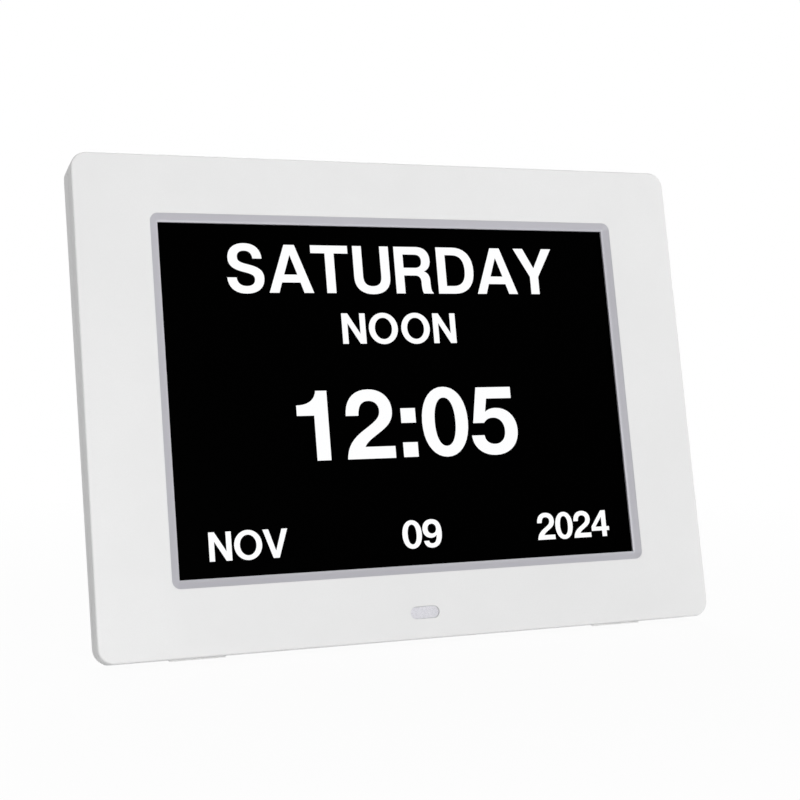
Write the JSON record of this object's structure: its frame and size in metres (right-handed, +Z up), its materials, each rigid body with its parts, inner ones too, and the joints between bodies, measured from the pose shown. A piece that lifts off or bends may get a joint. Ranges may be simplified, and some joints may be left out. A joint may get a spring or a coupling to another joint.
{
  "type": "dementia day clock",
  "caption": "Leaning desk clock with a wide calendar display in a white bezel, rear keys, side sockets, wall-hanging keyholes and a fold-out stand.",
  "frame": {"origin": "on the table, under the middle of the bounding box", "axes": "+Z up, the screen faces -Y, X runs along the width of the face"},
  "size_m": [0.216, 0.0676, 0.159],
  "materials": {
    "case_white": "fine satin moulded plastic",
    "surround_silver": "satin silver-grey plastic",
    "window_plastic": "translucent pale plastic",
    "screen_black": "black display glass with an anti-glare film",
    "key_white": "satin moulded plastic",
    "foot_rubber": "pale grey rubber",
    "screw_steel": "zinc-plated steel",
    "sheet_steel": "tinned sheet steel",
    "cell_steel": "bright steel can",
    "contact_metal": "plated contact",
    "board_green": "solder-masked circuit board",
    "dark_epoxy": "moulded epoxy",
    "black_plastic": "black moulded plastic",
    "connector_ivory": "ivory connector plastic",
    "ceramic_brown": "ceramic chip parts",
    "can_sleeve": "sleeved capacitor can",
    "flex_amber": "polyimide flat cable",
    "cable_grey": "grey flat cable",
    "wire_red": "insulated wire",
    "diffuser_white": "backlight tray and diffuser",
    "foam_black": "closed-cell foam",
    "cone_paper": "pressed paper cone",
    "magnet_grey": "ferrite magnet"
  },
  "bodies": {
    "root": {"front_bezel": "case_white", "screen_surround": "surround_silver", "remote_window": "window_plastic", "remote_receiver": "dark_epoxy", "remote_board": "board_green", "remote_cable": "cable_grey", "screen_gasket": "foam_black", "display_glass": "screen_black", "display_frame": "sheet_steel", "display_backlight": "diffuser_white", "display_cable": "flex_amber", "display_connector": "connector_ivory", "display_clips": "sheet_steel", "display_screws": "screw_steel", "main_board": "board_green", "main_chips": "dark_epoxy", "small_components": "ceramic_brown", "capacitors": "can_sleeve", "crystal": "sheet_steel", "coin_cell_holder": "black_plastic", "coin_cell": "cell_steel", "board_screws": "screw_steel", "power_socket": "black_plastic", "power_socket_pin": "contact_metal", "memory_stick_socket": "sheet_steel", "memory_stick_tongue": "connector_ivory", "card_slot": "sheet_steel", "key_board": "board_green", "key_board_screws": "screw_steel", "key_switches": "sheet_steel", "switch_plungers": "black_plastic", "key_cable": "cable_grey", "speaker_basket": "black_plastic", "speaker_cone": "cone_paper", "speaker_magnet": "magnet_grey", "speaker_wires": "wire_red", "rear_cover": "case_white", "cover_screws": "screw_steel", "case_feet": "foot_rubber", "stand_pin": "screw_steel"},
    "leg": {"stand_leg": "case_white", "stand_foot": "foot_rubber"},
    "key_power": {"key_power": "key_white"},
    "key_menu": {"key_menu": "key_white"},
    "key_left": {"key_left": "key_white"},
    "key_ok": {"key_ok": "key_white"},
    "key_right": {"key_right": "key_white"},
    "key_down": {"key_down": "key_white"},
    "key_up": {"key_up": "key_white"}
  },
  "joints": [
    {"name": "stand_hinge", "type": "hinge", "parent": "root", "child": "leg", "pos_m": [0, 0.00681, 0.08346], "axis": [1, 0, 0], "range_deg": [-28, 0]},
    {"name": "key_power_press", "type": "slide", "parent": "root", "child": "key_power", "axis": [0, -0.9774, 0.2113], "range_m": [0, 0.0005], "stiffness_N_per_m": 800, "springref_m": -0.0006},
    {"name": "key_menu_press", "type": "slide", "parent": "root", "child": "key_menu", "axis": [0, -0.9774, 0.2113], "range_m": [0, 0.0005], "stiffness_N_per_m": 800, "springref_m": -0.0006},
    {"name": "key_left_press", "type": "slide", "parent": "root", "child": "key_left", "axis": [0, -0.9774, 0.2113], "range_m": [0, 0.0005], "stiffness_N_per_m": 800, "springref_m": -0.0006},
    {"name": "key_ok_press", "type": "slide", "parent": "root", "child": "key_ok", "axis": [0, -0.9774, 0.2113], "range_m": [0, 0.0005], "stiffness_N_per_m": 800, "springref_m": -0.0006},
    {"name": "key_right_press", "type": "slide", "parent": "root", "child": "key_right", "axis": [0, -0.9774, 0.2113], "range_m": [0, 0.0005], "stiffness_N_per_m": 800, "springref_m": -0.0006},
    {"name": "key_down_press", "type": "slide", "parent": "root", "child": "key_down", "axis": [0, -0.9774, 0.2113], "range_m": [0, 0.0005], "stiffness_N_per_m": 800, "springref_m": -0.0006},
    {"name": "key_up_press", "type": "slide", "parent": "root", "child": "key_up", "axis": [0, -0.9774, 0.2113], "range_m": [0, 0.0005], "stiffness_N_per_m": 800, "springref_m": -0.0006}
  ]
}
